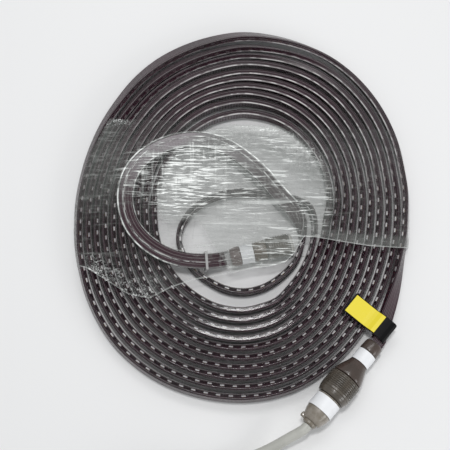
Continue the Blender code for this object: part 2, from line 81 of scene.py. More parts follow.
INNER_LOOP = (
    (46.0, 8.3), (38.0, 13.4), (25.3, 16.5), (13.0, 18.6), (1.5, 19.6), (-10.8, 18.4), (-22.4, 14.8),
    (-32.6, 8.4), (-40.4, -1.4), (-43.6, -12.5), (-40.2, -25.0), (-32.0, -36.0), (-21.0, -44.1),
    (-10.2, -48.9), (0.4, -50.2), (9.7, -48.6), (18.6, -44.6), (28.3, -37.2), (36.0, -27.8), (39.6, -17.0),
)  # fmt: skip
CROSSING = (
    (40.2, -8.6, 1.4, 12), (38.4, -1.0, 4.2, 40), (33.4, 6.0, 6.8, 74), (27.6, 12.5, 7.5, 88),
    (22.4, 18.6, 7.5, 90), (13.2, 29.9, 7.5, 90), (1.6, 40.7, 7.5, 90), (-10.8, 49.5, 7.5, 90),
    (-22.6, 54.0, 7.5, 90), (-34.4, 55.4, 7.5, 90), (-46.8, 53.5, 7.5, 90), (-58.5, 48.8, 7.5, 90),
    (-68.7, 41.2, 7.5, 90), (-76.0, 31.0, 7.5, 90), (-79.4, 18.4, 7.5, 90), (-78.4, 4.2, 7.5, 90),
    (-73.0, -8.4, 7.5, 90), (-63.4, -18.8, 7.5, 90), (-51.7, -25.9, 7.5, 90), (-41.0, -29.4, 7.5, 90),
    (-31.0, -30.6, 7.5, 90), (-25.0, -30.4, 6.4, 90), (-19.5, -29.7, 4.8, 90), (-14.0, -28.6, 3.2, 90),
)  # fmt: skip
CROSSING_RUN = (0.57, 0.51)  # metres before the strip's inner end, where its crossing run begins
WIRE_SECTION = (
    (0.3, 3.1), (0.5, 2.9), (1.4, 2.9), (1.6, 3.1), (1.6, 4.4), (1.4, 4.6), (0.5, 4.6), (0.3, 4.4),
)  # fmt: skip
LAMP_FROM = 0.012  # metres from the strip's end to its first lamp
TICK_WAVE, PAD_WAVE = 3016.0, 1508.0  # radians a metre: four copper ticks and two pads a lamp
INNER_PLUG = (-8.6, -27.1, 8.3, 13.5, 0.0)  # x, y, z, direction in degrees, climb
OUTER_PLUG = (86.1, -85.3, 8.8, 228.7, 0.065)
MAINS_PLUG = (11.6, -255.6, 0.0, 18.0, 0.0)
LEAD_START = 69.5  # along the outer coupling's axis
LEAD_IN = (
    (29.6, -144.6, 11.2), (22.8, -148.4, 8.6), (15.0, -152.4, 6.4), (5.0, -156.6, 4.6), (-6.0, -160.6, 4.4),
    (-18.5, -165.4, 4.4),
)  # fmt: skip
LEAD_COIL = (-19.0, -215.0, 36.0)  # x, y, radius at the middle of the turns
LEAD_ENTERS, LEAD_ROLLS, LEAD_LEAVES = 118.0, 5, 122.0  # degrees, full turns, degrees past them
LEAD_OUT = ((-30.0, -260.6, 3.6), (-19.0, -261.8, 3.6), (-6.0, -260.8, 4.0), (4.0, -258.3, 6.0))
PLUG_TAIL = (  # steps towards the cable: x, then width and height against the step before
    (-3.0, 0.82, 0.88), (-4.5, 0.52, 0.84), (-1.2, 1.12, 1.12), (-1.2, 0.9, 0.9), (-1.2, 1.12, 1.12),
    (-2.9, 0.86, 0.86),
)  # fmt: skip
FILM_FLAT = 11.55  # the film's height over the turns
FILM_RISE = 4.7  # and its rise over the strip that crosses the bore
FILM_UNDER = 0.25  # the height of its lower run
FILM_SLACK = 0.45  # between the outer turn and the film's side
FILM_SIDE = 112  # x where the film's two edges give the place of its sides
RUN_REACH = ((-40, 107.3), (-28, 109.3), (-18.6, 110.8), (-8.6, 112.4))  # y and x of the outer run's far face
FILM_SPAN = (  # share of the way across: the stretch of X over which the film is held up
    (0.00, -44.0, 34.0), (0.10, -52.0, 42.0), (0.25, -74.0, 43.0), (0.40, -84.0, 36.0), (0.57, -86.0, 25.0),
    (0.70, -83.0, 16.0), (0.80, -74.0, 4.0), (0.90, -58.0, -18.0), (1.00, -40.0, -30.0),
)  # fmt: skip
FILM_LOW = (
    (-118, -31), (-104, -35), (-90, -44), (-76, -53), (-62, -56), (-48, -49), (-32, -43.5), (-18, -41.4),
    (-5, -38.4), (5, -36.2), (18, -34.6), (28, -31.6), (34, -25.6), (38, -18.2), (41, -14), (50, -14.7),
    (60, -16.4), (84, -20), (104, -21), (120, -21),
)  # fmt: skip
FILM_HIGH = ((-118, 75), (-99, 72), (-60, 70), (-9, 67), (40, 65), (75, 63.5), (118, 63))


def polar(degrees, radius):
    a = math.radians(degrees)
    return radius * math.cos(a), radius * math.sin(a)


def smooth_line(points, step):
    """Rows joined by a Catmull-Rom curve and read about every step."""
    p = np.array(points, float)
    p = np.vstack([2 * p[0] - p[1], p, 2 * p[-1] - p[-2]])
    out = []
    for i in range(1, len(p) - 2):
        a, b, c, d = p[i - 1 : i + 3]
        count = max(1, round(float(np.linalg.norm((c - b)[:3])) / step))
        for t in np.linspace(0, 1, count, endpoint=False):
            out.append(b + 0.5 * t * (c - a + t * (2 * a - 5 * b + 4 * c - d + t * (3 * (b - c) + d - a))))
    out.append(p[-2])
    return np.array(out)


def run_of(line):
    """How far along the line each of its points lies."""
    return np.concatenate([[0], np.cumsum(np.linalg.norm(np.diff(line[:, :3], axis=0), axis=1))])


def even_line(line, step):
    """The same line with its points an even step apart."""
    gone = run_of(line)
    at = np.linspace(0, gone[-1], max(2, round(gone[-1] / step) + 1))
    return np.stack([np.interp(at, gone, line[:, i]) for i in range(line.shape[1])], axis=1)


def eased(share):
    """0 to 1, slow at both ends."""
    return share * share * (3 - 2 * share)


def far_side(angle):
    """1 where the outer turns have fallen inwards, 0 at the near side."""
    return math.exp(-(((angle - 108) / 46) ** 2))


def turn_radius(angle, k, turns):
    """Turn k's radius at an angle from 0 to 360: the turns are evenly spaced but at the far side."""
    a = float(np.interp(angle, RING_ANGLES, OUTER_TURN))
    b = float(np.interp(angle, RING_ANGLES, INNER_TURN))
    return a + (b - a) * k / (turns - 1) + far_side(angle) * FAR_SHIFT[min(k, 9)]


def lean(angle, k):
    """How far a turn leans, in degrees: less than 0 with its top towards the bore."""
    near = math.exp(-(((angle - 268) / 50) ** 2))
    off = min(angle, abs(180 - angle), 360 - angle) / (34 if angle < 180 else 50)
    beside = 12 * math.exp(-(off**2))
    fallen = far_side(angle) * FAR_LEAN[min(k, 4)]
    return -(3 * (1 - near) + beside + (7 * near if k < 6 else 0) + fallen)


def plug_place(numbers):
    """The frame of a coupling's axis, in metres."""
    x, y, z, degrees, climb = numbers
    axis = Vector((*polar(degrees, 1.0), climb)).normalized()
    side = Vector((0, 0, 1)).cross(axis).normalized()
    turn = Matrix((axis, side, axis.cross(side))).transposed().to_4x4()
    return Matrix.Translation(Vector((x, y, z)) * MM) @ turn


def strip_line(sizes):
    """The strip from outer to inner coupling, round the coil and the bore: x, y, z in metres, turn."""
    middle = FLOOR_GAP / MM + sizes.width / MM / 2
    turns = sizes.turns
    outer, inner = plug_place(OUTER_PLUG), plug_place(INNER_PLUG)
    rows = [(*(outer @ Vector((-d * MM, 0, 0)) / MM), -62.0) for d in (0.3, 3.3)]
    rows += [(x, y, middle + h, a) for x, y, h, a in OUTER_RUN]
    for step in range(1, turns * 40):
        angle = step * 9.0
        k, angle = int(angle // 360), angle % 360
        if k == turns - 1 and angle > RING_END:
            break
        tilt = lean(angle, k)
        a = math.radians(abs(tilt))
        half = (math.cos(a) * sizes.width + math.sin(a) * sizes.thickness) / MM / 2
        height = min(FLOOR_GAP / MM + half, TURN_TOP - half)
        rows.append((*polar(angle, turn_radius(angle, k, turns)), height, tilt))
    rows += [(*polar(a, r), middle, 0.0) for a, r in INNER_LEAVE]
    rows += [(x, y, middle, -2.0) for x, y in INNER_LOOP]
    rows += [(x, y, middle + h, a) for x, y, h, a in CROSSING]
    rows += [(*(inner @ Vector((-d * MM, 0, 0)) / MM), 90.0) for d in (3.3, 0.3)]
    line = even_line(smooth_line(rows, 3.0), sizes.step / MM)
    line[:, :3] *= MM
    return line


# ---------------------------------------------------------------- materials


class Signal:
    """A value that changes over a surface. Python arithmetic on it adds the Math nodes."""

    def __init__(self, finish, socket):
        self.finish, self.socket = finish, socket

    def math(self, operation, a, b=None, clamp=False):
        inputs = {0: a} if b is None else {0: a, 1: b}
        return self.finish.add("ShaderNodeMath", {"operation": operation, "use_clamp": clamp}, inputs)

    def __add__(self, other):
        return self.math("ADD", self, other)

    def __sub__(self, other):
        return self.math("SUBTRACT", self, other)

    def __rsub__(self, other):
        return self.math("SUBTRACT", other, self)

    def __mul__(self, other):
        return self.math("MULTIPLY", self, other)

    def __truediv__(self, other):
        return self.math("DIVIDE", self, other)

    def __pow__(self, other):
        return self.math("POWER", self, other)

    __radd__, __rmul__ = __add__, __mul__

    def least(self, other):
        return self.math("MINIMUM", self, other)

    def most(self, other):
        return self.math("MAXIMUM", self, other)

    def size(self):
        return self.math("ABSOLUTE", self)

    def wave(self):
        return self.math("SINE", self)

    def clamped(self):
        return self.math("MULTIPLY", self, 1.0, clamp=True)

    def step(self, low, high):
        """0 under low, 1 over high, smooth between."""
        return self.finish.add(
            "ShaderNodeMapRange",
            {"interpolation_type": "SMOOTHSTEP"},
            {"Value": self, "From Min": low, "From Max": high, "To Min": 0.0, "To Max": 1.0},
        )

    def fall(self, low, high):
        """1 under low, 0 over high."""
        return 1 - self.step(low, high)

    def near(self, place, inner, outer):
        """1 within inner of a place, 0 beyond outer."""
        return (self - place).size().fall(inner, outer)


class Finish:
    """A material with its nodes."""

    def __init__(self, name, color, roughness, **constants):
        self.material = bpy.data.materials.new(name)
        self.material.use_nodes = True
        self.tree = self.material.node_tree
        self.shader = self.tree.nodes["Principled BSDF"]
        self.material.diffuse_color = (*color[:3], 1.0)
        self.shader.inputs["Base Color"].default_value = (*color[:3], 1.0)
        self.shader.inputs["Roughness"].default_value = roughness
        for key, value in constants.items():
            self.shader.inputs[key.replace("_", " ").title().replace("Ior", "IOR")].default_value = value

    def add(self, kind, settings=None, inputs=None, output=0):
        """A node from its type, its settings and the values or links of its sockets."""
        node = self.tree.nodes.new(kind)
        for key, value in (settings or {}).items():
            setattr(node, key, value)
        for key, value in (inputs or {}).items():
            self.link(value, node.inputs[key])
        return Signal(self, node.outputs[output])

    def link(self, value, socket):
        if isinstance(value, Signal):
            self.tree.links.new(value.socket, socket)
        else:
            socket.default_value = value

    def place(self, stretch=(1, 1, 1), turn=0.0):
        """Object coordinates in metres, stretched and turned about Z."""
        where = self.add("ShaderNodeTexCoord", output=3)
        inputs = {"Vector": where, "Rotation": (0, 0, turn), "Scale": stretch}
        return self.add("ShaderNodeMapping", {}, inputs)

    def parts(self, vector):
        node = self.tree.nodes.new("ShaderNodeSeparateXYZ")
        self.tree.links.new(vector.socket, node.inputs[0])
        return [Signal(self, node.outputs[i]) for i in range(3)]

    def axes(self):
        """Object coordinates as three numbers."""
        return self.parts(self.add("ShaderNodeTexCoord", output=3))

    def own(self, name):
        """The three numbers of a piece's own attribute."""
        return self.parts(self.add("ShaderNodeAttribute", {"attribute_name": name}, output=1))

    def noise(self, scale, detail=2.0, roughness=0.5, stretch=(1, 1, 1), turn=0.0, distortion=0.0):
        inputs = {
            "Vector": self.place(stretch, turn), "Scale": scale, "Detail": detail,
            "Roughness": roughness, "Distortion": distortion,
        }  # fmt: skip
        return self.add("ShaderNodeTexNoise", {}, inputs)

    def mix(self, share, a, b):
        """A colour between two colours."""
        return self.add("ShaderNodeMix", {"data_type": "RGBA"}, {0: share, 6: a, 7: b}, output=2)

    def set(self, **links):
        for key, value in links.items():
            self.link(value, self.shader.inputs[key.replace("_", " ").title()])

    def bump(self, height, distance):
        inputs = {"Height": height, "Distance": distance, "Strength": 1.0}
        self.set(normal=self.add("ShaderNodeBump", {}, inputs))


def rgba(color, share=1.0):
    return (*(share * c for c in tuple(color)[:3]), 1.0)


def crossing_run(along, end):
    """1 where the strip crosses the bore, from the way along it and its length."""
    return along.step(end - CROSSING_RUN[0], end - CROSSING_RUN[1])


def clear_jacket(colours, end):
    """Clear extruded PVC, dark from what it holds: painted highlights as pale lines at its corners, painted
    sheen on the outer faces of its outer turns.
    """
    f = Finish("clear_jacket", colours.jacket, 0.08, ior=1.5, specular_ior_level=0.24)
    x, y, _ = f.axes()
    out, up, along = f.own("section")
    far = y.step(0.0, 0.05)
    crossing = crossing_run(along, end)
    flat = up.size().fall(4.2, 4.6)
    inner_face = (0 - out).step(1.86, 1.97) * flat
    outer_face = out.step(1.86, 1.97) * flat * (1 - crossing)
    foot = out.step(0.0, 1.5) * (0 - up).step(3.6, 4.5)
    inner = (0 - out).step(1.50, 1.93)
    corner = inner * up.step(4.65, 5.1) + inner * (0 - up).step(4.65, 5.1) * crossing
    far_line = (0 - out).step(0.95, 1.25) * up.step(4.85, 5.1) * far * (1 - crossing)
    # Painted highlight along a line on the crossing run's upper face.
    crossing_glint = (0 - out).step(1.7, 1.95) * up.near(1.0, 0.1, 0.5) * crossing
    outer_corner = out.step(1.45, 1.9) * up.step(4.5, 5.0)
    face = out.step(1.6, 1.9) * up.size().fall(4.3, 4.8) * up.step(-4.6, -3.2)
    window = up.step(4.9, 5.15) * out.near(-0.9, 0.65, 0.95)
    outermost = along.fall(1.35, 1.80)
    draw = ((up * 5.5).wave() * 0.6 + (up * 14.0 + 1.3).wave() * 0.4).step(-0.35, 0.55)
    fine = f.noise(260, 3, 0.6)
    patch = f.noise(34, 3, 0.6)
    glint = f.noise(150, 2, 0.6).step(0.42, 0.60)
    # Painted highlights: pale lines at the inner top corner and both edges of the crossing run, along the top
    # on the far side, brighter to the right, and faintly at the outer corner.
    line = (
        corner * (0.66 + 0.4 * patch + 0.30 * far + 0.40 * crossing)
        + far_line * (0.20 + 0.45 * glint) * (0.45 + 0.55 * x.step(-0.06, 0.0))
        + outer_corner * (0.02 + 0.2 * patch + 0.25 * far)
        + crossing_glint * (0.25 + 0.55 * glint)
    ).clamped()
    # Painted sheen: the outer faces of the outer turns are paler grey as if lit from outside, most at the far
    # right.
    outer_sheen = face * outermost * (0.08 + 0.80 * draw) * (0.30 + 0.60 * x.step(-0.03, 0.04) * far)
    dark = f.mix(patch.step(0.35, 0.65), rgba(colours.jacket), (0.036, 0.008, 0.018, 1))
    cover = (
        0.34 + 0.08 * fine - 0.16 * crossing - 0.22 * inner_face - 0.20 * window * (1 - far)
        + (0.30 * window + 0.25 * face) * far
        + line + foot * 0.5 + outer_face * 0.50 + face * outermost * 0.15
    )  # fmt: skip
    f.set(
        base_color=f.mix(line, f.mix(outer_sheen, dark, (0.44, 0.43, 0.43, 1)), (0.78, 0.77, 0.76, 1)),
        alpha=cover.least(0.96).most(0.06),
        roughness=0.05 + 0.08 * fine + 0.20 * far,
    )
    f.bump(draw * face + fine * 0.3, 0.00005)
    return f.material


def dark_core(colours):
    """The wire bundles at the strip's two edges, in a dark sheath."""
    f = Finish("dark_core", colours.core, 0.30)
    patch = f.noise(45, 4, 0.6)
    f.set(base_color=f.mix(patch.step(0.4, 0.7), rgba(colours.core), (0.034, 0.014, 0.022, 1)))
    return f.material


def board_face(end):
    """The flexible board's back, with fine copper ticks across. It is painted paler, its ticks brighter, at
    the coil's far left, as lit from the lower right.
    """
    f = Finish("board_face", (0.05, 0.04, 0.042), 0.5, specular_ior_level=0.1)
    x, y, _ = f.axes()
    _, up, along = f.own("section")
    # Painted light: the board's back is paler at the coil's far left, where light from the lower right would
    # fall.
    lit_far_left = (0.03 - x).step(0.0, 0.05) * y.step(0.01, 0.05)
    ticks = (along * TICK_WAVE).wave().step(0.4, 0.85) * up.size().fall(3.4, 3.8)
    crossing = crossing_run(along, end)
    lines = (up * 3.1 + 0.6).wave().step(0.78, 0.97) * crossing
    pale = lit_far_left * (0.55 + 0.45 * f.noise(120, 3))
    base = f.mix(pale, (0.032, 0.008, 0.017, 1), (0.42, 0.39, 0.41, 1))
    copper = ticks * (0.25 + 0.5 * lit_far_left) * (1 - 0.8 * crossing)
    marked = f.mix(copper, base, (0.075, 0.048, 0.042, 1))
    f.set(base_color=f.mix(lines * 0.4, marked, (0.34, 0.32, 0.31, 1)))
    return f.material


def board_front():
    """The board's lamp side, dark with copper pads."""
    f = Finish("board_front", (0.030, 0.016, 0.020), 0.28)
    _, up, along = f.own("section")
    edges = up.size()
    pads = (along * PAD_WAVE).wave().step(0.86, 0.96) * edges.step(1.9, 2.2) * edges.fall(2.9, 3.2)
    f.set(base_color=f.mix(pads, (0.034, 0.017, 0.022, 1), (0.26, 0.13, 0.07, 1)))
    return f.material


def lamp_body():
    """The lamps' white housings, unevenly lit through the jacket."""
    f = Finish("lamp_body", (0.86, 0.86, 0.84), 0.4)
    shade = f.noise(24, 2, 0.7).step(0.42, 0.66)
    f.set(base_color=f.mix(shade, (0.93, 0.92, 0.93, 1), (0.50, 0.48, 0.50, 1)))
    return f.material


def lamp_window():
    """The lamps' yellow phosphor."""
    f = Finish("lamp_window", (0.80, 0.62, 0.12), 0.3)
    grain = f.noise(2500, 2).step(0.3, 0.7)
    f.set(base_color=f.mix(grain, (0.82, 0.64, 0.13, 1), (0.66, 0.44, 0.06, 1)))
    return f.material


def smoked(name, color, light):
    """Smoked moulded plastic, a little see-through: painted paler in random clouds, standing in for light
    seen through it.
    """
    f = Finish(name, color, 0.22, coat_weight=0.35, coat_roughness=0.12)
    # Painted light: random clouds of the paler colour stand in for light shining through the plastic.
    cloud = f.noise(120, 3, 0.55)
    f.set(
        base_color=f.mix(cloud.step(0.35, 0.7), rgba(color), rgba(light)),
        roughness=0.20 + 0.16 * f.noise(420, 3),
    )
    f.bump(f.noise(1400, 3), 0.00004)
    return f.material


def grip_and_collar(colours):
    """The inner coupling's smoked body: its grip mauve, its collar amber."""
    f = Finish("inner_smoked", colours.inner, 0.24, coat_weight=0.35, coat_roughness=0.12)
    x, y, _ = f.axes()
    px, py, _, degrees, _ = INNER_PLUG
    ax, ay = polar(degrees, 1.0)
    along = (x - px * MM) * ax + (y - py * MM) * ay
    cloud = f.noise(160, 3, 0.6)
    collar = f.mix(cloud, (0.060, 0.030, 0.011, 1), (0.100, 0.058, 0.026, 1))
    grip = f.mix(cloud, rgba(colours.inner), (0.12, 0.060, 0.056, 1))
    f.set(base_color=f.mix(along.step(0.0120, 0.0124), grip, collar), roughness=0.20 + 0.16 * f.noise(420, 3))
    f.bump(f.noise(1400, 3), 0.00004)
    return f.material


def paper(name, color, grime):
    """A plain printed-stock label, slightly creased."""
    f = Finish(name, color, 0.45)
    fibre = f.noise(900, 4, 0.65)
    stain = f.noise(140, 3).step(0.5, 0.8) * 0.6
    f.set(base_color=f.mix(stain, rgba(color), rgba(grime)), roughness=0.38 + 0.2 * fibre)
    f.bump(fibre, 0.00003)
    return f.material


def tape():
    """Black tape, slightly wrinkled."""
    f = Finish("black_tape", (0.005, 0.005, 0.006), 0.4, specular_ior_level=0.08)
    f.set(roughness=0.34 + 0.2 * f.noise(300, 3))
    f.bump(f.noise(260, 3), 0.0001)
    return f.material


def sheath(colours):
    """Grey soft PVC of the mains cable, faintly mottled with a fine grain."""
    f = Finish("cable_sheath", colours.cable, 0.42)
    soft = f.noise(90, 3)
    f.set(
        base_color=f.mix(soft.step(0.3, 0.75), rgba(colours.cable), rgba(colours.cable, 0.86)),
        roughness=0.36 + 0.16 * f.noise(1200, 2),
    )
    f.bump(f.noise(2200, 2), 0.00003)
    return f.material


def pin_metal():
    """Plated brass, drawn along the pin."""
    f = Finish("pin_metal", (0.78, 0.74, 0.62), 0.25, metallic=1.0)
    f.set(roughness=0.18 + 0.2 * f.noise(600, 3, stretch=(1, 1, 8)))
    return f.material


def film_skin(colours):
    """Stretch film: haze, and white creases along the pull that crowd where its layers add up. Their white is
    partly the film's own whitening, partly painted highlight; painted glints run along the crossing strip and
    the bore's top rim, and painted shade darkens a band inside that rim.
    """
    f = Finish("stretch_film", colours.film, 0.25, ior=1.45)
    x, y, share = f.own("spread")
    bore = (1.08 - ((x - 2) / 60) ** 2 - ((y - 14) / 54) ** 2).step(0.0, 0.22)
    crowd = (1.20 - ((x + 47) / 46) ** 2 - ((y - 29) / 31) ** 2).step(0.0, 1.1)
    ridge = f.own("ridge")[0]
    rim = (x * x + y * y) ** 0.5
    # Painted highlights: glints where the film touches the innermost turn at the bore's top.
    arc = rim.near(66, 2, 8) * x.step(-20, 0) * y.step(30, 44)
    # Painted shade: a darker, denser band of film inside the bore's top rim.
    rim_shade = rim.near(56, 3, 11) * y.step(16, 40) * (0.4 + 0.6 * x.step(-40, -10))
    under = 0 - (4 + ((x + 30) / 25).clamped() * 42)
    layers = (y - under).step(0.0, 2.5)
    right = x.step(48, 62)
    left = x.fall(-92, -72)
    hem = share.fall(0.05, 0.15) * x.fall(-62, -50) * x.step(-108, -100)
    lip = share.step(0.93, 0.99) * x.fall(-88, -70)
    selvedge = share.fall(0.004, 0.011)
    fine = f.noise(1, 4, 0.62, stretch=(75, 800, 300), turn=0.05, distortion=0.5)
    broad = f.noise(1, 3, 0.55, stretch=(24, 330, 90), turn=0.07, distortion=0.7)
    upright = f.noise(1, 2, 0.5, stretch=(460, 30, 100), turn=0.10)
    cross_a = f.noise(1, 3, 0.6, stretch=(90, 620, 200), turn=0.75)
    cross_b = f.noise(1, 3, 0.6, stretch=(90, 620, 200), turn=-0.6)
    crumple = f.noise(1, 4, 0.7, stretch=(360, 440, 300), distortion=1.8)
    patch = f.noise(38, 3, 0.6)
    crease = (fine + 0.035 * crowd + 0.015 * bore).step(0.55, 0.64) * (patch + 0.14 * crowd).step(0.36, 0.56)
    glint = f.noise(110, 3, 0.6).step(0.38, 0.60)
    # Painted highlights: glints along the crossing strip's two edges and a line just inside its outer edge.
    pulled = ridge.near(5.1, 0.15, 0.75)
    second = ridge.near(1.6, 0.10, 0.60)
    third = ridge.near(-5.1, 0.10, 0.60)
    crossed = cross_a.step(0.56, 0.68) + cross_b.step(0.56, 0.68)
    # White creases and crumples: partly the film's own whitening, partly painted highlight.
    streak_and_sheen = (
        crease * (0.06 + 0.62 * bore + 0.50 * crowd) * (0.15 + 0.85 * layers)
        + broad.step(0.55, 0.69) * (0.04 + 0.42 * bore + 0.28 * crowd + 0.12 * left)
        + crossed * (0.04 + 0.05 * right + 0.12 * left + 0.20 * crowd) * layers
        + upright.step(0.58, 0.66) * (0.10 * bore + 0.24 * crowd)
        + pulled * (0.30 + 0.60 * glint) + second * (0.10 + 0.45 * glint) + third * 0.45 * glint
        + (hem + lip + 0.55 * arc + 0.35 * rim_shade) * crumple.step(0.52, 0.61) * (0.35 + 0.9 * patch)
        + selvedge * (0.22 + 0.3 * patch)
    ).clamped()
    haze = (
        0.02 + 0.05 * patch + 0.24 * bore * layers + 0.17 * left * y.step(-8, 30) * layers
        + 0.01 * crowd - 0.015 * right + 0.24 * rim_shade + right * share.fall(0.05, 0.12) * (0.10 + 0.25 * fine)
    )  # fmt: skip
    haze_and_shade = f.mix(rim_shade * 0.8, rgba(colours.film), (0.17, 0.18, 0.17, 1))
    f.set(
        base_color=f.mix(streak_and_sheen, haze_and_shade, (0.88, 0.90, 0.88, 1)),
        alpha=haze + (1 - haze) * streak_and_sheen,
        roughness=0.22 + 0.25 * patch,
    )
    f.bump(fine * 0.5 + broad * 1.2 + crumple * (hem + lip) * 2, 0.0006)
    return f.material


def floor_paint(colours):
    f = Finish("floor", colours.floor, 0.7)
    f.set(base_color=f.mix(f.noise(3, 2) * 0.2, rgba(colours.floor), rgba(colours.floor, 0.96)))
    return f.material


# ---------------------------------------------------------------- making


def clear_selection():
    """Object mode with nothing selected."""
    if bpy.context.object and bpy.context.object.mode != "OBJECT":
        bpy.ops.object.mode_set(mode="OBJECT")
    bpy.ops.object.select_all(action="DESELECT")


def pick(obj):
    """Object mode with only this piece selected and active."""
    clear_selection()
    obj.select_set(True)
    bpy.context.view_layer.objects.active = obj


def wear(obj, material, smooth=35.0):
    """Material, body and shading of a finished piece. A smooth of 0 leaves its faces as they are."""
    obj.data.materials.clear()
    obj.data.materials.append(material)
    if smooth:
        pick(obj)
        bpy.ops.object.shade_smooth_by_angle(angle=math.radians(smooth))
    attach(obj, "root")


def dress(name, material):
    """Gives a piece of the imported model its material."""
    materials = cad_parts[name].data.materials
    materials.clear()
    materials.append(material)


def ring_faces(n, m):
    """The quads between n closed rings of m points."""
    i, j = np.meshgrid(np.arange(n - 1), np.arange(m), indexing="ij")
    k = (j + 1) % m
    quads = np.stack([i * m + j, i * m + k, (i + 1) * m + k, (i + 1) * m + j], axis=-1).reshape(-1, 4)
    return [tuple(map(int, q)) for q in quads]


def mesh_piece(name, points, faces):
    mesh = bpy.data.meshes.new(name)
    mesh.from_pydata([tuple(map(float, p)) for p in points], [], faces)
    obj = bpy.data.objects.new(name, mesh)
    bpy.context.scene.collection.objects.link(obj)
    pick(obj)
    bpy.ops.object.mode_set(mode="EDIT")
    bpy.ops.mesh.select_all(action="SELECT")
    bpy.ops.mesh.normals_make_consistent(inside=False)
    bpy.ops.object.mode_set(mode="OBJECT")
    return obj


def mark(obj, name, values):
    """Writes an attribute of three numbers a point."""
    layer = obj.data.attributes.new(name, "FLOAT_VECTOR", "POINT")
    layer.data.foreach_set("vector", np.asarray(values, np.float32).ravel())
    return obj


def frames_along(line):
    """At each point of a line: its place, and the directions outwards and upwards of the strip's section."""
    along = np.gradient(line[:, :3], axis=0)
    along /= np.linalg.norm(along, axis=1)[:, None]
    side = np.cross(along, (0, 0, 1))
    side /= np.linalg.norm(side, axis=1)[:, None]
    up = np.cross(side, along)
    a = np.radians(line[:, 3])[:, None]
    return along, side * np.cos(a) - up * np.sin(a), up * np.cos(a) + side * np.sin(a)


def swept(name, line, section):
    """A closed bar along a line, its section in millimetres. Its points keep their place in it."""
    _, out, up = frames_along(line)
    section = np.array(section, float)
    outwards, upwards = section[None, :, :1], section[None, :, 1:]
    rings = line[:, None, :3] + MM * (outwards * out[:, None] + upwards * up[:, None])
    n, m = len(line), len(section)
    ends = [tuple(range(m))[::-1], tuple(range((n - 1) * m, n * m))]
    obj = mesh_piece(name, rings.reshape(-1, 3), ring_faces(n, m) + ends)
    place = np.concatenate([np.tile(section, (n, 1)), np.repeat(run_of(line), m)[:, None]], axis=1)
    return mark(obj, "section", place)


def round_section(thick, wide, radius, steps):
    """A rectangle with round corners. A point just past each end of an arc keeps the flats flat."""
    out, past = [], 0.12
    for cx, cy, start in ((1, 1, 0), (-1, 1, 90), (-1, -1, 180), (1, -1, 270)):
        middle = np.array((cx * (thick / 2 - radius), cy * (wide / 2 - radius)))
        arc = [middle + polar(start + t, radius) for t in np.linspace(0, 90, steps)]
        out += [arc[0] + polar(start - 90, past), *arc, arc[-1] + polar(start + 180, past)]
    return out


def blocks(name, line, every, first, length, low, high):
    """Small blocks at even steps along a line, between two corners of its section in millimetres."""
    gone = run_of(line)
    at = np.arange(first, gone[-1] - first, every)
    along, out, up = frames_along(line)

    def read(values):
        return np.stack([np.interp(at, gone, values[:, i]) for i in range(3)], axis=1)

    layer = ((-1, low[0]), (1, low[0]), (1, high[0]), (-1, high[0]))
    corners = np.array([(s, u, v) for v in (low[1], high[1]) for s, u in layer])
    place, t, o, u = (read(v)[:, None] for v in (line[:, :3], along, out, up))
    points = place + t * corners[:, :1] * length / 2 + MM * (o * corners[:, 1:2] + u * corners[:, 2:])
    box = ((0, 3, 2, 1), (4, 5, 6, 7), (0, 1, 5, 4), (1, 2, 6, 5), (2, 3, 7, 6), (3, 0, 4, 7))
    faces = [tuple(base + i for i in face) for base in range(0, 8 * len(at), 8) for face in box]
    return mesh_piece(name, points.reshape(-1, 3), faces)


def settle(obj, place):
    """Moves a piece and leaves its place in its mesh."""
    obj.matrix_world = place
    pick(obj)
    bpy.ops.object.transform_apply(location=True, rotation=True, scale=True)
    return obj


def put(obj, place):
    """Moves a piece modelled about the Z axis onto a coupling's axis."""
    return settle(obj, place @ Matrix.Rotation(math.radians(90), 4, "Y"))


def turned(name, stations, segments=48, bore=None):
    """A turned piece: a circle extruded from station to station, each a distance and a radius in millimetres.

    A bore makes it a ring.
    """
    clear_selection()
    first = stations[0]
    radius = (bore or first[1]) * MM
    fill = "NOTHING" if bore else "NGON"
    bpy.ops.mesh.primitive_circle_add(vertices=segments, radius=radius, fill_type=fill)
    obj = bpy.context.object
    obj.name = obj.data.name = name
    bpy.ops.object.mode_set(mode="EDIT")
    bpy.ops.mesh.select_mode(type="VERT")
    bpy.ops.mesh.select_all(action="SELECT")
    bpy.ops.transform.translate(value=(0, 0, first[0] * MM))
    rows = [(first[0], bore), *stations, (stations[-1][0], bore)] if bore else list(stations)
    for (za, ra), (zb, rb) in zip(rows[:-1], rows[1:]):
        bpy.ops.mesh.extrude_region_move(TRANSFORM_OT_translate={"value": (0, 0, (zb - za) * MM)})
        bpy.ops.transform.resize(value=(rb / ra, rb / ra, 1), center_override=(0, 0, zb * MM))
    if bore:
        bpy.ops.mesh.select_all(action="DESELECT")
        bpy.ops.mesh.select_mode(type="EDGE")
        bpy.ops.mesh.select_non_manifold()
        bpy.ops.mesh.bridge_edge_loops()
    bpy.ops.mesh.select_all(action="SELECT")
    bpy.ops.mesh.normals_make_consistent(inside=False)
    bpy.ops.object.mode_set(mode="OBJECT")
    return obj


def select_faces(obj, test):
    """Edit mode with only the faces that pass the test selected."""
    pick(obj)
    bpy.ops.object.mode_set(mode="EDIT")
    bpy.ops.mesh.select_mode(type="FACE")
    bpy.ops.mesh.select_all(action="DESELECT")
    work = bmesh.from_edit_mesh(obj.data)
    for face in work.faces:
        face.select = bool(test(face.calc_center_median() / MM, face.normal))
    work.select_flush_mode()
    bmesh.update_edit_mesh(obj.data)


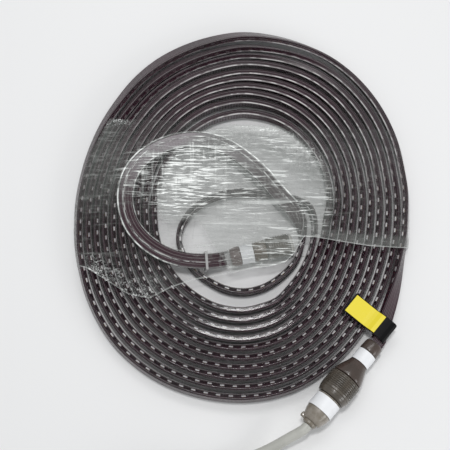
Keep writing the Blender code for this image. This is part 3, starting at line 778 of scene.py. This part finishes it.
def sunk_panels(obj, low, high, count, thickness, depth):
    """Even panels sunk into a turned piece's side, between two heights."""

    def between_ribs(c, n):
        turn = math.degrees(math.atan2(c.y, c.x)) % 360
        return low < c.z < high and abs(n.z) < 0.5 and int(turn / 360 * count * 2) % 2 == 0

    select_faces(obj, between_ribs)
    bpy.ops.mesh.inset(thickness=thickness * MM, depth=-depth * MM, use_individual=False)
    bpy.ops.object.mode_set(mode="OBJECT")
    return obj


def ridges(start, end, count, low, high):
    """Stations of even ridges round a turned piece."""
    pitch = (end - start) / count
    rows = []
    for i in range(count):
        at = start + i * pitch
        rows += [(at, low), (at + 0.32 * pitch, high), (at + 0.68 * pitch, high)]
    return [*rows, (end, low)]


def soften(obj, width, segments=2, angle=30.0):
    bevel = obj.modifiers.new("edge", "BEVEL")
    bevel.width = width * MM
    bevel.segments = segments
    bevel.limit_method = "ANGLE"
    bevel.angle_limit = math.radians(angle)
    pick(obj)
    bpy.ops.object.modifier_apply(modifier=bevel.name)
    return obj


# ---------------------------------------------------------------- properties


def length(name, description, value, low=0.0, high=1.0):
    return bpy.props.FloatProperty(
        name=name, description=description, default=value, min=low, max=high, unit="LENGTH", precision=5
    )


def colour(name, description, value):
    return bpy.props.FloatVectorProperty(
        name=name, description=description, default=value, size=3, min=0, max=1, subtype="COLOR"
    )


class StripSizes(bpy.types.PropertyGroup):
    width: length("Width", "The strip's wide side, which stands upright in the coil", STRIP_WIDE * MM)
    thickness: length("Thickness", "The strip's narrow side", STRIP_THICK * MM)
    pitch: length("Lamp Pitch", "From one lamp to the next", 8.333 * MM)
    step: length("Step", "Length of strip between two rings of its mesh", 3.6 * MM)
    turns: bpy.props.IntProperty(name="Turns", description="Turns in the coil", default=10, min=2, max=40)


class LeadSizes(bpy.types.PropertyGroup):
    diameter: length("Diameter", "The mains cable's diameter", 6.6 * MM)


class StageSizes(bpy.types.PropertyGroup):
    distance: length("Camera Distance", "From the coil's top to the camera", 0.62, 0.1, 5.0)
    tilt: bpy.props.FloatProperty(
        name="Camera Tilt", description="Away from straight down", default=math.radians(15), subtype="ANGLE"
    )
    lens: bpy.props.FloatProperty(
        name="Lens", description="Focal length in millimetres", default=73.4, min=10
    )


class Colours(bpy.types.PropertyGroup):
    jacket: colour("Jacket", "Shade of the strip's jacket over its dark core", (0.023, 0.006, 0.012))
    core: colour("Core", "Dark core of the strip", (0.018, 0.012, 0.015))
    smoked: colour("Smoked Plastic", "Couplings on the strip", (0.055, 0.040, 0.032))
    inner: colour("Inner Coupling", "Grip of the coupling in the bore", (0.070, 0.032, 0.032))
    lead: colour("Lead Coupling", "Coupling on the mains lead", (0.19, 0.165, 0.13))
    cable: colour("Cable", "Sheath of the mains cable", (0.50, 0.50, 0.46))
    film: colour("Film", "Haze of the stretch film", (0.27, 0.29, 0.27))
    tag: colour("Tag", "Face of the tag", (0.80, 0.66, 0.01))
    floor: colour("Floor", "Floor", (0.84, 0.84, 0.84))


# ---------------------------------------------------------------- operators


class COIL_OT_lead(bpy.types.Operator):
    """The mains lead: cable out of the outer coupling, its rest coiled out of view, and its plug."""

    bl_idname = "coil.lead"
    bl_label = "Mains Lead"

    def execute(self, context):
        colours = context.scene.coil_colours
        d = context.scene.coil_lead.diameter / MM
        outer = plug_place(OUTER_PLUG)
        start = [tuple(outer @ Vector((s * MM, 0, 0)) / MM) for s in (LEAD_START, LEAD_START + 3.5)]
        cx, cy, radius = LEAD_COIL
        inner, far = radius - d / 2, radius + d / 2
        low = d / 2 + 1.1
        second, third = low + d, low + 2 * d
        seats = [(far, low), (inner, low), (inner, second), (inner, third), (far, third), (far, second)]
        rows = [*start, *LEAD_IN]
        last = LEAD_ENTERS + LEAD_ROLLS * 360 + LEAD_LEAVES
        for angle in np.arange(LEAD_ENTERS, last, 15.0):
            done = (angle - LEAD_ENTERS) / 360
            seat = int(done)
            r, z = seats[seat]
            if seat < LEAD_ROLLS:  # the last sixth of a turn moves to the next seat
                change = eased(max(0.0, (done - seat - 0.84) / 0.16))
                r, z = r + (seats[seat + 1][0] - r) * change, z + (seats[seat + 1][1] - z) * change
            if done < 0.2:
                r += (far + 4.2 - r) * max(0.0, 1 - done / 0.14) ** 2
            if done > 5.06:
                drop = eased(min(1.0, (done - 5.06) / 0.26))
                r, z = r + 7.4 * drop, z + (low - 0.9 - z) * drop
            x, y = polar(angle, r)
            rows.append((cx + x, cy + y, z))
        rows += LEAD_OUT
        rows.append(tuple(plug_place(MAINS_PLUG) @ Vector((-0.3 * MM, 0, 7 * MM)) / MM))
        line = smooth_line(rows, 6.0) * MM
        curve = bpy.data.curves.new("mains_cable", "CURVE")
        curve.dimensions = "3D"
        curve.bevel_depth = d / 2 * MM
        curve.bevel_resolution = 4
        curve.use_fill_caps = True
        spline = curve.splines.new("POLY")
        spline.points.add(len(line) - 1)
        for point, p in zip(spline.points, line):
            point.co = (*map(float, p), 1.0)
        cable = bpy.data.objects.new("mains_cable", curve)
        context.scene.collection.objects.link(cable)
        wear(cable, sheath(colours), smooth=0)
        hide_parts("lead_cable", "lead_coil", "lead_tail")
        plug = self.mains_plug(colours)
        dress("lead_tie", tape())
        for name in ("mains_pin_1", "mains_pin_2"):
            dress(name, pin_metal())
        return {"FINISHED"}

    def mains_plug(self, colours):
        """A flat moulded plug: a block drawn out to its cable, with grip rings."""
        clear_selection()
        bpy.ops.mesh.primitive_cube_add(size=1)
        plug = bpy.context.object
        plug.name = plug.data.name = "mains_plug"
        bpy.ops.object.mode_set(mode="EDIT")
        bpy.ops.transform.resize(value=(18 * MM, 25 * MM, 14 * MM))
        bpy.ops.transform.translate(value=(23 * MM, 0, 7 * MM))
        bpy.ops.object.mode_set(mode="OBJECT")
        for dx, sy, sz in PLUG_TAIL:
            select_faces(plug, lambda c, n: n.x < -0.9 and c.x < 14.5)
            bpy.ops.mesh.extrude_region_move(TRANSFORM_OT_translate={"value": (dx * MM, 0, 0)})
            work = bmesh.from_edit_mesh(plug.data)
            chosen = [v.co.copy() for v in work.verts if v.select]
            middle = sum(chosen, Vector()) / len(chosen)
            bpy.ops.transform.resize(value=(1, sy, sz), center_override=middle)
            bpy.ops.object.mode_set(mode="OBJECT")
        soften(plug, 1.6, 3, 25)
        settle(plug, plug_place(MAINS_PLUG))
        wear(plug, sheath(colours))
        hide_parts("mains_plug_body")
        return plug


class COIL_OT_strip(bpy.types.Operator):
    """The strip, one length from coupling to coupling: a clear jacket over its wires, board and lamps."""

    bl_idname = "coil.strip"
    bl_label = "LED Strip"

    def execute(self, context):
        sizes, colours = context.scene.coil_strip, context.scene.coil_colours
        line = strip_line(sizes)
        run = float(run_of(line)[-1])
        wide, thick = sizes.width / MM, sizes.thickness / MM
        jacket = swept("strip_jacket", line, round_section(thick, wide, 0.85, 4))
        wear(jacket, clear_jacket(colours, run), smooth=40)
        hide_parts("led_strip")
        inside = line[1:-1]
        wires = []
        for name, side in (("strip_upper_wires", 1), ("strip_lower_wires", -1)):
            wires.append(swept(name, inside, [(u, side * v) for u, v in WIRE_SECTION]))
            wear(wires[-1], dark_core(colours), smooth=50)
        board = swept("strip_board", inside, [(-1.75, -4.4), (-1.6, -4.4), (-1.6, 4.4), (-1.75, 4.4)])
        wear(board, board_face(run), smooth=30)
        front = swept("strip_board_front", inside, [(-1.59, -4.3), (-1.45, -4.3), (-1.45, 4.3), (-1.59, 4.3)])
        wear(front, board_front(), smooth=30)
        lamps = blocks("strip_lamps", line, sizes.pitch, LAMP_FROM, 2.8 * MM, (-1.44, -2.2), (-0.50, 2.2))
        wear(lamps, lamp_body(), smooth=0)
        low, high = (-0.52, -1.7), (-0.44, 1.7)
        windows = blocks("strip_lamp_windows", line, sizes.pitch, LAMP_FROM, 2.0 * MM, low, high)
        wear(windows, lamp_window(), smooth=0)
        return {"FINISHED"}


class COIL_OT_inner_coupling(bpy.types.Operator):
    """The coupling at the strip's inner end: body, label, ribbed nut, clear cap and the tie on the strip."""

    bl_idname = "coil.inner_coupling"
    bl_label = "Inner Coupling"

    def execute(self, context):
        colours = context.scene.coil_colours
        place = plug_place(INNER_PLUG)
        body = turned("inner_coupling_body", (
            (0.0, 5.3), (0.7, 5.9), (2.0, 6.2), (5.8, 6.7), (6.5, 6.6), (6.9, 5.9), (16.0, 5.9), (16.4, 6.3),
            (20.0, 6.5), (24.2, 6.7), (24.7, 6.4), (24.9, 5.0), (40.2, 5.0),
        ), 64)  # fmt: skip
        sunk_panels(body, 2.1, 5.7, 16, 0.12, 0.3)
        put(soften(body, 0.2), place)
        wear(body, grip_and_collar(colours))
        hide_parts("inner_plug_body")
        label = put(turned("inner_coupling_label", ((7.2, 6.5), (15.7, 6.5)), bore=6.05), place)
        wear(label, paper("white_label", (0.84, 0.85, 0.87), (0.70, 0.70, 0.70)))
        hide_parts("inner_plug_label")
        nut = turned("inner_coupling_nut", (
            (25.2, 6.7), (25.7, 7.2), (26.1, 7.35), (27.4, 7.35), (27.7, 7.1), (28.2, 7.1),
            *ridges(28.6, 38.8, 6, 7.05, 7.4), (39.3, 7.3), (40.0, 7.2), (40.4, 6.8),
        ), 80, 5.3)  # fmt: skip
        sunk_panels(nut, 28.3, 39.0, 20, 0.1, 0.2)
        put(nut, place)
        wear(nut, smoked("inner_nut", (0.060, 0.046, 0.034), (0.11, 0.088, 0.068)))
        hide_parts("inner_plug_nut")
        cap = put(turned("inner_coupling_cap", (
            (40.8, 5.6), (41.1, 6.8), (41.9, 6.8), (42.2, 6.4), (42.5, 6.8), (43.0, 6.2), (43.0, 3.4),
            (42.3, 3.1), (42.3, 1.0),
        )), place)  # fmt: skip
        wear(cap, smoked("clear_plastic", (0.42, 0.40, 0.37), (0.55, 0.53, 0.50)))
        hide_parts("inner_plug_cap")
        dress("strip_tie", smoked("tie_plastic", (0.34, 0.33, 0.33), (0.45, 0.44, 0.44)))
        return {"FINISHED"}


class COIL_OT_outer_coupling(bpy.types.Operator):
    """The couplings of the strip's outer end and of the mains lead, screwed together."""

    bl_idname = "coil.outer_coupling"
    bl_label = "Outer Couplings"

    def execute(self, context):
        colours = context.scene.coil_colours
        place = plug_place(OUTER_PLUG)
        dark = smoked("outer_smoked", tuple(colours.smoked), (0.075, 0.052, 0.044))
        body = turned("outer_coupling_body", (
            (0.0, 5.3), (0.5, 5.9), (1.6, 6.3), (7.0, 6.5), (7.7, 6.4), (8.0, 5.9), (17.2, 5.9), (17.6, 6.5),
            (19.6, 7.1), (22.0, 8.1), (25.0, 9.3), (27.6, 10.1), (29.2, 10.4), (29.8, 10.2), (30.0, 8.2),
            (46.6, 8.2),
        ))  # fmt: skip
        put(soften(body, 0.3), place)
        wear(body, dark)
        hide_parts("outer_plug_body")
        white = paper("white_wrap", (0.84, 0.85, 0.87), (0.72, 0.72, 0.72))
        label = put(turned("outer_coupling_label", ((8.3, 6.55), (16.9, 6.55)), bore=6.05), place)
        wear(label, white)
        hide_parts("outer_plug_label")
        nut = turned("outer_coupling_nut", (
            (30.3, 10.2), (30.7, 10.7), (31.2, 10.8), *ridges(31.5, 40.6, 7, 10.65, 11.05), (41.0, 10.95),
            (42.2, 10.95), (42.5, 10.6), (42.9, 10.8), (44.2, 10.6), (44.5, 10.25), (45.2, 10.15),
            (46.2, 9.8), (46.8, 9.3),
        ), 96, 8.5)  # fmt: skip
        sunk_panels(nut, 31.3, 40.7, 24, 0.1, 0.22)
        put(nut, place)
        wear(nut, smoked("outer_nut", (0.066, 0.056, 0.044), (0.105, 0.088, 0.070)))
        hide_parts("outer_plug_nut")
        lead = turned("lead_coupling_body", (
            (47.2, 8.4), (47.6, 8.6), (48.1, 8.2), (58.2, 8.2), (58.5, 8.5), (61.0, 8.1), (63.6, 7.3),
            (66.0, 6.4), (66.5, 6.0), (66.8, 4.7), (67.6, 4.9), (68.4, 4.9), (68.8, 4.4), (69.3, 4.0),
        ))  # fmt: skip
        ear = self.ear()
        pick(lead)
        ear.select_set(True)
        bpy.context.view_layer.objects.active = lead
        bpy.ops.object.join()
        put(lead, place)
        wear(lead, smoked("lead_smoked", tuple(colours.lead), (0.30, 0.27, 0.235)))
        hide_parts("lead_plug_body")
        label = put(turned("lead_coupling_label", ((48.4, 8.85), (57.9, 8.85)), bore=8.35), place)
        wear(label, white)
        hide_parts("lead_plug_label")
        return {"FINISHED"}

    def ear(self):
        """The small lug beside the cable's way out, modelled about Z like the coupling."""
        clear_selection()
        bpy.ops.mesh.primitive_cube_add(size=3.4 * MM)
        lug = bpy.context.object
        bpy.ops.object.mode_set(mode="EDIT")
        bpy.ops.mesh.select_all(action="SELECT")
        bpy.ops.transform.resize(value=(0.9, 1.6, 1.0))
        bpy.ops.transform.translate(value=(0, -5.2 * MM, 66.0 * MM))
        bpy.ops.object.mode_set(mode="OBJECT")
        return soften(lug, 0.9, 3)


class COIL_OT_tag(bpy.types.Operator):
    """The folded tag: a black band over the outer strip with a plain yellow face."""

    bl_idname = "coil.tag"
    bl_label = "Tag"

    def execute(self, context):
        colours = context.scene.coil_colours
        dress("tag_band", tape())
        dress("tag_label", paper("tag_face", tuple(colours.tag), (0.80, 0.66, 0.0)))
        return {"FINISHED"}


class COIL_OT_film(bpy.types.Operator):
    """The band of stretch film, pulled round the coil and held up by the strip that crosses it."""

    bl_idname = "coil.film"
    bl_label = "Stretch Film"

    def execute(self, context):
        colours = context.scene.coil_colours
        rng = np.random.default_rng(7)
        across, top = ((110, 330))
        shares = np.linspace(0, 1, across)
        spans = np.array(FILM_SPAN)
        rings, spread = [], []
        self.crossing = smooth_line([row[:2] for row in CROSSING[2:20]], 0.6)
        low, high = np.array(FILM_LOW, float), np.array(FILM_HIGH, float)
        ridge = rng.uniform(0, 2 * math.pi, 12)
        for share in shares:
            sides = (-FILM_SIDE, FILM_SIDE)
            near_y, far_y = (np.interp(sides, edge[:, 0], edge[:, 1]) for edge in (low, high))
            side_y = near_y * (1 - share) + far_y * share
            left, left_foot = (-v - FILM_SLACK for v in self.reach(side_y[0], -1))
            right, right_foot = (v + FILM_SLACK for v in self.reach(side_y[1], 1))
            start, end = (float(np.interp(share, spans[:, 0], spans[:, i])) for i in (1, 2))
            rise = FILM_RISE * float(np.interp(share, (0.9, 1.0), (1.0, 0.4)))
            row, marks = [], []
            for x in np.linspace(left, right, top):
                z = FILM_FLAT + rise * float(np.interp(x, (left, start, end, right), (0, 1, 1, 0)))
                z -= 1.2 * max(0.0, 1 - min(x - left, right - x) / 1.3) ** 2
                edges = [np.interp(x, edge[:, 0], edge[:, 1]) for edge in (low, high)]
                y = float(np.interp(share, (0, 1), edges))
                row.append((x, y, z))
                marks.append((x, y, share))
            for t in (0.2, 0.45, 0.7, 0.9):
                row.append((right + (right_foot - right) * t, side_y[1], 10.0 - 9.6 * t))
            for x in np.linspace(right_foot - 0.8, left_foot + 0.8, 24):
                y = side_y[1] + (side_y[0] - side_y[1]) * (right_foot - x) / (right_foot - left_foot)
                row.append((x, y, FILM_UNDER))
            for t in (0.9, 0.7, 0.45, 0.2):
                row.append((left + (left_foot - left) * t, side_y[0], 10.0 - 9.6 * t))
            marks += [(x, y + 300, share) for x, y, _ in row[top:]]  # clear of the patterns on the top
            rings.append(row)
            spread.append(marks)
        points = np.array(rings)
        xs, ys = points[:, :top, 0], points[:, :top, 1]
        crease = np.zeros_like(xs)
        for i, phase in enumerate(ridge):
            pitch = 2.2 + 1.1 * (i % 5)
            wander = 3.0 * np.sin(xs / (26 + 7 * i) + phase)
            crease += np.abs(np.sin((ys + wander + phase * 5) * math.pi / pitch)) ** 3 / len(ridge)
        over = np.clip(1.2 - ((xs + 12) / 88) ** 2 - ((ys - 20) / 56) ** 2, 0.0, 1.0)
        points[:, :top, 2] += (crease - 0.3) * (0.25 + 1.5 * over)
        film = mesh_piece("stretch_film_band", points.reshape(-1, 3) * MM, ring_faces(*points.shape[:2]))
        mark(film, "spread", spread)
        mark(film, "ridge", [(self.beside(p), 0, 0) for p in points[:, :, :2].reshape(-1, 2)])
        wear(film, film_skin(colours), smooth=60)
        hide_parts("stretch_film")
        return {"FINISHED"}

    def reach(self, y, side):
        """How far the coil's top and its foot reach towards one side at this y, in millimetres."""
        crown, foot = [], []
        for turn in range(-88, 89, 2):
            angle = (turn if side > 0 else 180 - turn) % 360
            a = math.radians(abs(lean(angle, 0)))
            radius = turn_radius(angle, 0, 10) + STRIP_THICK / 2 * math.cos(a)
            for rim, shift in ((crown, -STRIP_WIDE / 2), (foot, STRIP_WIDE / 2)):
                x, at = polar(angle, radius + shift * math.sin(a))
                rim.append((at, side * x))
        best = [float(np.interp(y, *zip(*rim))) for rim in (crown, foot)]
        if side > 0 and y < 0:
            run = float(np.interp(y, *zip(*RUN_REACH)))
            best = [max(b, run) for b in best]
        return best

    def beside(self, p):
        """How far a point lies outside the crossing strip's middle, less than 0 towards the bore."""
        away = p - self.crossing
        i = int(np.argmin((away**2).sum(axis=1)))
        j = min(max(i, 1), len(self.crossing) - 2)
        along = self.crossing[j + 1] - self.crossing[j - 1]
        side = np.sign(along[1] * away[i][0] - along[0] * away[i][1])
        return float(side * np.hypot(*away[i])) if 0 < i < len(self.crossing) - 1 else 99.0


class COIL_OT_stage(bpy.types.Operator):
    """The pale floor, the soft lights and the camera."""

    bl_idname = "coil.stage"
    bl_label = "Stage"

    def execute(self, context):
        colours, sizes = context.scene.coil_colours, context.scene.coil_stage
        clear_selection()
        bpy.ops.mesh.primitive_plane_add(size=6)
        floor = bpy.context.object
        floor.name = floor.data.name = "floor"
        floor.data.materials.append(floor_paint(colours))
        self.area("lamp", (-0.021, 0.126, 1.21), (0, 0, 0), 0.18, 0.13, 5.5)
        self.area("far_soft", (0.0, 0.75, 1.20), (0, 0.1, 0), 1.1, 0.4, 4.0)
        self.area("near_soft", (0.75, -0.70, 0.42), (-0.05, 0.06, 0), 0.7, 0.4, 3.0)
        world = context.scene.world or bpy.data.worlds.new("World")
        context.scene.world = world
        world.use_nodes = True
        sky = world.node_tree.nodes["Background"]
        sky.inputs["Color"].default_value = (0.96, 0.98, 1.0, 1.0)
        sky.inputs["Strength"].default_value = 0.42
        lens = bpy.data.cameras.new("camera")
        lens.lens = sizes.lens
        lens.sensor_width = 36.0
        lens.clip_start, lens.clip_end = 0.01, 20.0
        camera = bpy.data.objects.new("camera", lens)
        context.scene.collection.objects.link(camera)
        aim = Vector((-0.01219, -0.00491, 0.011))
        camera.location = aim + sizes.distance * Vector((0, -math.sin(sizes.tilt), math.cos(sizes.tilt)))
        camera.rotation_euler = (sizes.tilt, 0, 0)
        context.scene.camera = camera
        context.scene.view_settings.view_transform = "Standard"
        context.scene.view_settings.look = "None"
        return {"FINISHED"}

    def area(self, name, place, aim, wide, high, power):
        """A soft light turned to what it lights."""
        data = bpy.data.lights.new(name, "AREA")
        data.shape = "RECTANGLE"
        data.size, data.size_y = wide, high
        data.energy = power
        light = bpy.data.objects.new(name, data)
        bpy.context.scene.collection.objects.link(light)
        light.location = place
        light.rotation_euler = (Vector(aim) - Vector(place)).to_track_quat("-Z", "Y").to_euler()


class COIL_PT_panel(bpy.types.Panel):
    """Lists the pieces and the sizes."""

    bl_label = "Strip Light Coil"
    bl_idname = "COIL_PT_panel"
    bl_space_type = "VIEW_3D"
    bl_region_type = "UI"
    bl_category = "Strip Light"

    def draw(self, context):
        for name, group in GROUPS.items():
            box = self.layout.box()
            box.label(text=name.removeprefix("coil_").title())
            for key in group.__annotations__:
                box.prop(getattr(context.scene, name), key)
        for operator in OPERATORS:
            self.layout.operator(operator.bl_idname)


OPERATORS = (
    COIL_OT_stage, COIL_OT_lead, COIL_OT_strip, COIL_OT_inner_coupling, COIL_OT_outer_coupling, COIL_OT_tag,
    COIL_OT_film,
)  # fmt: skip
GROUPS = {"coil_strip": StripSizes, "coil_lead": LeadSizes, "coil_stage": StageSizes, "coil_colours": Colours}
CLASSES = (*GROUPS.values(), *OPERATORS, COIL_PT_panel)


def register():
    for cls in CLASSES:
        bpy.utils.register_class(cls)
    for name, group in GROUPS.items():
        setattr(bpy.types.Scene, name, bpy.props.PointerProperty(type=group))


def unregister():
    for name in GROUPS:
        delattr(bpy.types.Scene, name)
    for cls in reversed(CLASSES):
        bpy.utils.unregister_class(cls)


def main():
    register()
    for operator in OPERATORS:
        if getattr(bpy.ops.coil, operator.bl_idname.split(".")[1])() != {"FINISHED"}:
            raise RuntimeError(f"{operator.bl_label} did not finish")
    clear_selection()


if __name__ == "__main__":
    main()
